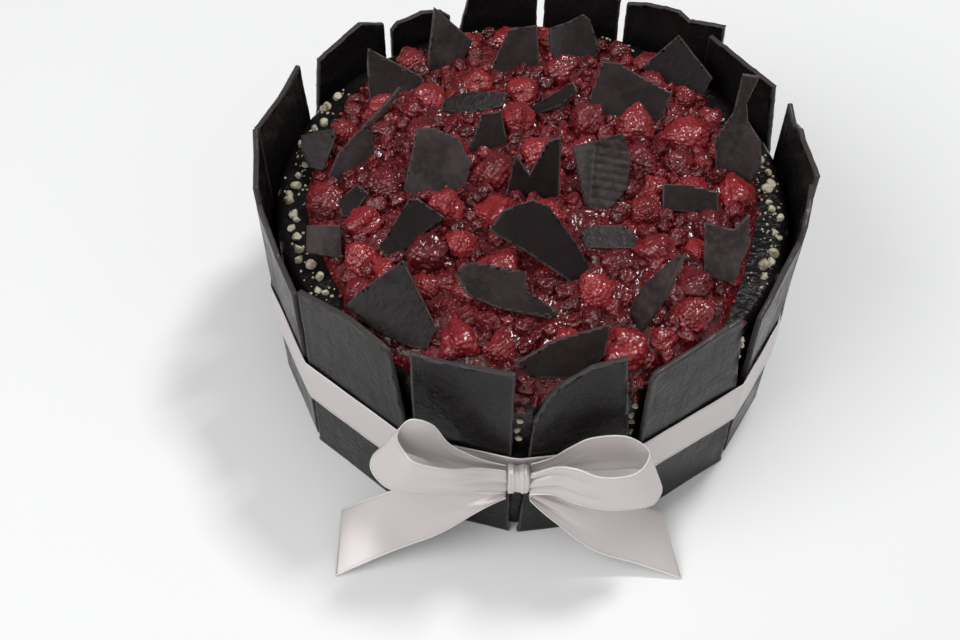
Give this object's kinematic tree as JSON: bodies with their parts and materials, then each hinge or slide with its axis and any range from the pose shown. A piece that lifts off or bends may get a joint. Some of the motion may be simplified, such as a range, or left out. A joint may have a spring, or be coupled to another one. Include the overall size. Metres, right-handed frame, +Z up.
{
  "type": "cake",
  "caption": "Round black forest cake with a dark glaze, walled with upright chocolate panels, topped with raspberries and chocolate shards, and tied with a satin ribbon and bow.",
  "frame": {"origin": "centre of the cake's flat base, on the surface it stands on", "axes": "+Z up, the bow in front on -Y, +X to the right seen from the bow"},
  "size_m": [0.2335, 0.2526, 0.1367],
  "materials": {
    "glaze": "glossy dark chocolate glaze with chopped nuts",
    "chocolate": "satin dark chocolate",
    "fruit": "wet crushed raspberries in syrup",
    "ribbon": "pale satin"
  },
  "bodies": {
    "root": {"cake": "glaze", "fruit": "fruit", "ribbon_band": "ribbon", "panel_front_left": "chocolate", "panel_front_right": "chocolate", "panel_right_1": "chocolate", "panel_right_2": "chocolate", "panel_right_3": "chocolate", "panel_right_4": "chocolate", "panel_back_1": "chocolate", "panel_back_2": "chocolate", "panel_back_3": "chocolate", "panel_back_4": "chocolate", "panel_back_5": "chocolate", "panel_back_6": "chocolate", "panel_left_1": "chocolate", "panel_left_2": "chocolate", "panel_left_3": "chocolate", "panel_left_4": "chocolate", "shard_01": "chocolate", "shard_02": "chocolate", "shard_03": "chocolate", "shard_04": "chocolate", "shard_05": "chocolate", "shard_06": "chocolate", "shard_07": "chocolate", "shard_08": "chocolate", "shard_09": "chocolate", "shard_10": "chocolate", "shard_11": "chocolate", "shard_12": "chocolate", "shard_13": "chocolate", "shard_14": "chocolate", "shard_15": "chocolate", "shard_16": "chocolate", "shard_17": "chocolate", "shard_18": "chocolate", "shard_19": "chocolate", "shard_20": "chocolate", "shard_21": "chocolate", "shard_22": "chocolate", "shard_23": "chocolate", "shard_24": "chocolate", "shard_25": "chocolate", "shard_26": "chocolate", "shard_27": "chocolate", "bow_knot": "ribbon", "bow_loop_left": "ribbon", "bow_loop_right": "ribbon", "bow_tail_left": "ribbon", "bow_tail_right": "ribbon"}
  },
  "joints": []
}
